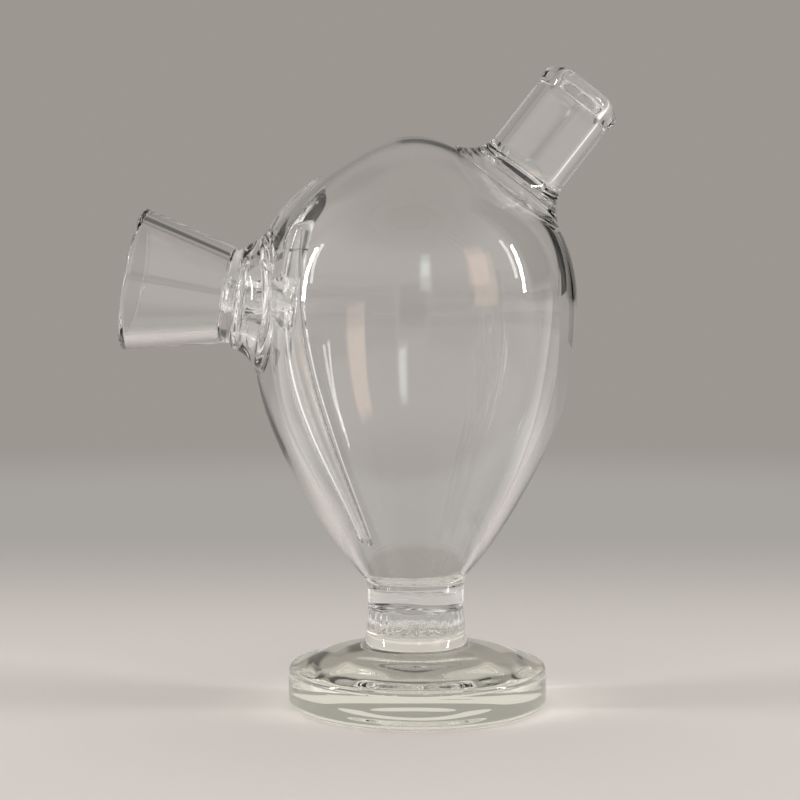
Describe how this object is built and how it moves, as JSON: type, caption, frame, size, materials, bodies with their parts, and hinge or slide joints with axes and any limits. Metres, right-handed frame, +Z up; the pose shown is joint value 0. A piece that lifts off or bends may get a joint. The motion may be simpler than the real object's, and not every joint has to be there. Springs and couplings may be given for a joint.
{
  "type": "glass bubbler",
  "caption": "Clear hand-blown glass bubbler: egg-shaped water bulb on a thick round foot, flared inlet cup with an internal downtube, short angled mouthpiece.",
  "frame": {"origin": "centre of the foot's flat underside", "axes": "+Z up along the foot's axis, +X towards the mouthpiece, the inlet cup on -X, +Y across; the XZ plane is the plane of symmetry"},
  "size_m": [0.0649, 0.0428, 0.0843],
  "materials": {
    "clear_glass": "clear, fire-polished",
    "weld_glass": "clear, slightly green where it is thick",
    "foot_glass": "clear, faintly yellow-green"
  },
  "bodies": {
    "root": {"foot": "foot_glass", "foot_weld": "clear_glass", "stem": "clear_glass", "bulb_floor": "clear_glass", "bulb": "clear_glass", "tube_seal": "clear_glass", "downtube": "clear_glass", "inlet_cup": "clear_glass", "inlet_weld": "weld_glass", "mouthpiece": "clear_glass", "mouthpiece_weld": "weld_glass"}
  },
  "joints": []
}
